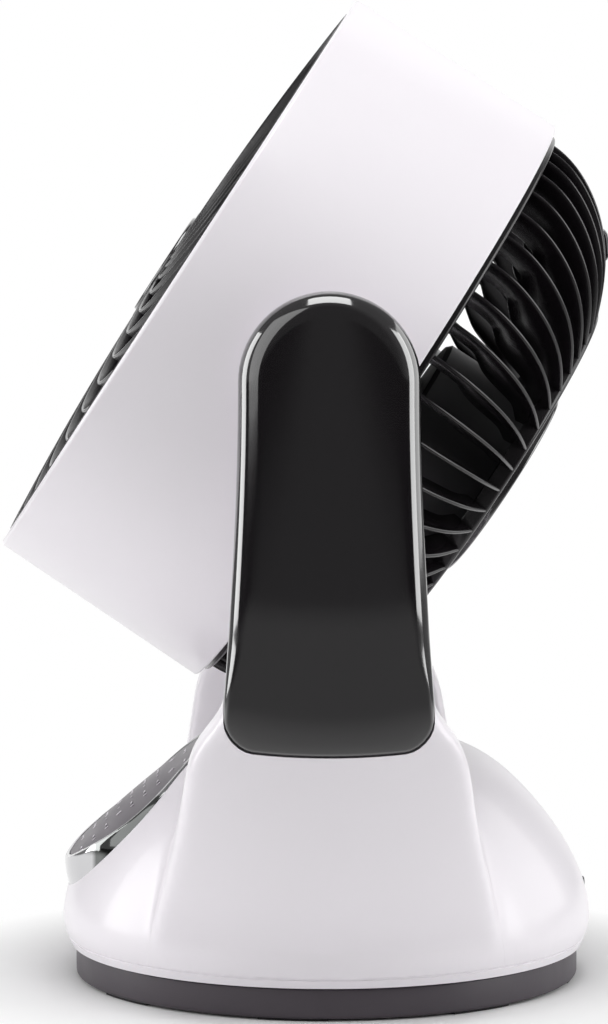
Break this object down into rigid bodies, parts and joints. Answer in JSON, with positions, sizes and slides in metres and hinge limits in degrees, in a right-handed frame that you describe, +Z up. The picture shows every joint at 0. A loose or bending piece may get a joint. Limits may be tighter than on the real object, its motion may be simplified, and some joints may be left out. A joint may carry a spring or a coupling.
{
  "type": "air circulator fan",
  "caption": "Table air circulator: a drum head with swirl-vane front grille and ribbed rear cage tilts in a two-armed yoke that swings on a round weighted base.",
  "frame": {"origin": "on the floor plane under the feet, on the vertical axis about which the yoke swings", "axes": "+Z up; -Y is the side the fan blows towards; +X is the fan's own left side"},
  "size_m": [0.348, 0.2722, 0.4381],
  "materials": {
    "white_shell": "glossy",
    "black_gloss": "high gloss",
    "black_grille": "satin",
    "dark_base": "satin",
    "chrome_trim": "polished",
    "smoked_window": "glossy",
    "circuit_board": "matte",
    "steel": "zinc plated",
    "motor_can": "satin",
    "motor_core": "laminated",
    "inner_plastic": "matte",
    "bush_plastic": "self-lubricating",
    "rubber_pad": "matte"
  },
  "bodies": {
    "base": {"base_plate": "dark_base", "bottom_cover": "dark_base", "ballast_plate": "steel", "foot_pads": "rubber_pad", "swivel_post": "steel", "swivel_cap": "steel", "swing_gear": "bush_plastic", "slide_ring": "bush_plastic"},
    "yoke": {"base_housing": "white_shell", "side_panel_left": "white_shell", "side_panel_right": "white_shell", "arm_cover_left": "black_gloss", "arm_cover_right": "black_gloss", "pivot_bushes": "bush_plastic", "control_bezel": "chrome_trim", "control_window": "smoked_window", "control_board": "circuit_board", "turntable": "inner_plastic", "swing_motor": "motor_can", "power_inlet": "black_grille"},
    "pinion": {"swing_pinion": "bush_plastic"},
    "head": {"drum_shell": "white_shell", "front_grille": "black_grille", "front_hub_cap": "black_grille", "rear_grille": "black_grille", "rear_cap": "black_gloss", "air_duct": "black_grille", "motor_housing": "motor_can", "motor_end_bell": "motor_can", "motor_bearings": "steel", "motor_stator": "motor_core", "trunnion_left": "inner_plastic", "trunnion_right": "inner_plastic", "trunnion_nuts": "inner_plastic", "pivot_washers": "steel", "pivot_screws": "steel"},
    "rotor": {"motor_shaft": "steel", "motor_rotor": "motor_core", "impeller": "black_grille", "spinner": "black_grille"}
  },
  "joints": [
    {"name": "base_swivel", "type": "hinge", "parent": "base", "child": "yoke", "pos_m": [0, 0, 0.0212], "axis": [0, 0, 1], "range_deg": [-40, 40]},
    {"name": "pinion_turn", "type": "hinge", "parent": "yoke", "child": "pinion", "pos_m": [0, 0.0384, 0.0164], "axis": [0, 0, 1], "range_deg": [-120, 120]},
    {"name": "head_tilt", "type": "hinge", "parent": "yoke", "child": "head", "pos_m": [0, -0.0018, 0.275], "axis": [-1, 0, 0], "range_deg": [-33.3, 56.7]},
    {"name": "fan_spin", "type": "hinge", "parent": "head", "child": "rotor", "pos_m": [0, -0.0018, 0.275], "axis": [0, -0.8358, 0.549], "continuous": true}
  ],
  "couplings": [
    {"joint": "pinion_turn", "follows": "base_swivel", "ratio": 3}
  ]
}
